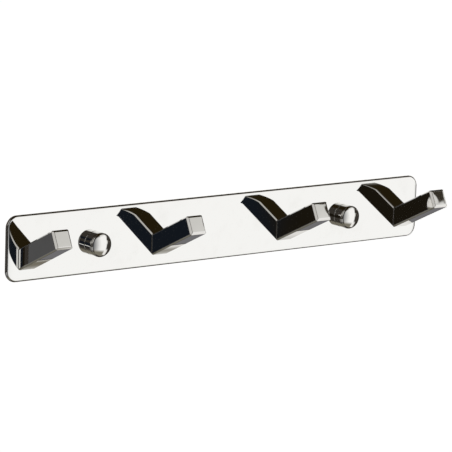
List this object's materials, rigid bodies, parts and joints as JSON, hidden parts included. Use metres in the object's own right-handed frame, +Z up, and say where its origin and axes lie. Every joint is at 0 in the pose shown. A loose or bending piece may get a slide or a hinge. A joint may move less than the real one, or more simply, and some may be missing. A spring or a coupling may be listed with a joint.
{
  "type": "wall hook rack",
  "caption": "Wall hook rack: a rounded back plate that carries square-bar hooks sloping up and out, with domed caps that pull off its wall screws.",
  "frame": {"origin": "centre of the back plate's back face, which lies on the wall", "axes": "+X to the right as seen from the front, +Y into the wall, +Z up; the hooks reach out along -Y"},
  "size_m": [0.4, 0.0838, 0.05],
  "materials": {
    "plate_chrome": "mirror-polished chrome plating",
    "hook_chrome": "mirror-polished chrome plating",
    "cap_chrome": "mirror-polished chrome plating",
    "zinc_steel": "bright zinc plating",
    "bright_steel": "ground steel",
    "collar_nylon": "moulded natural nylon",
    "ring_rubber": "matte black rubber",
    "plug_nylon": "moulded grey nylon"
  },
  "bodies": {
    "rack": {"back_plate": "plate_chrome", "hook_1": "hook_chrome", "hook_2": "hook_chrome", "hook_3": "hook_chrome", "hook_4": "hook_chrome", "hook_screw_1": "zinc_steel", "hook_screw_2": "zinc_steel", "hook_screw_3": "zinc_steel", "hook_screw_4": "zinc_steel", "dowel_1": "bright_steel", "dowel_2": "bright_steel", "dowel_3": "bright_steel", "dowel_4": "bright_steel", "collar_left": "collar_nylon", "collar_right": "collar_nylon", "grip_ring_left": "ring_rubber", "grip_ring_right": "ring_rubber", "wall_screw_left": "zinc_steel", "wall_screw_right": "zinc_steel", "wall_plug_left": "plug_nylon", "wall_plug_right": "plug_nylon"},
    "cap_left": {"cap_left": "cap_chrome"},
    "cap_right": {"cap_right": "cap_chrome"}
  },
  "joints": [
    {"name": "cap_left_pull", "type": "slide", "parent": "rack", "child": "cap_left", "axis": [0, -1, 0], "range_m": [0, 0.02]},
    {"name": "cap_right_pull", "type": "slide", "parent": "rack", "child": "cap_right", "axis": [0, -1, 0], "range_m": [0, 0.02]}
  ]
}
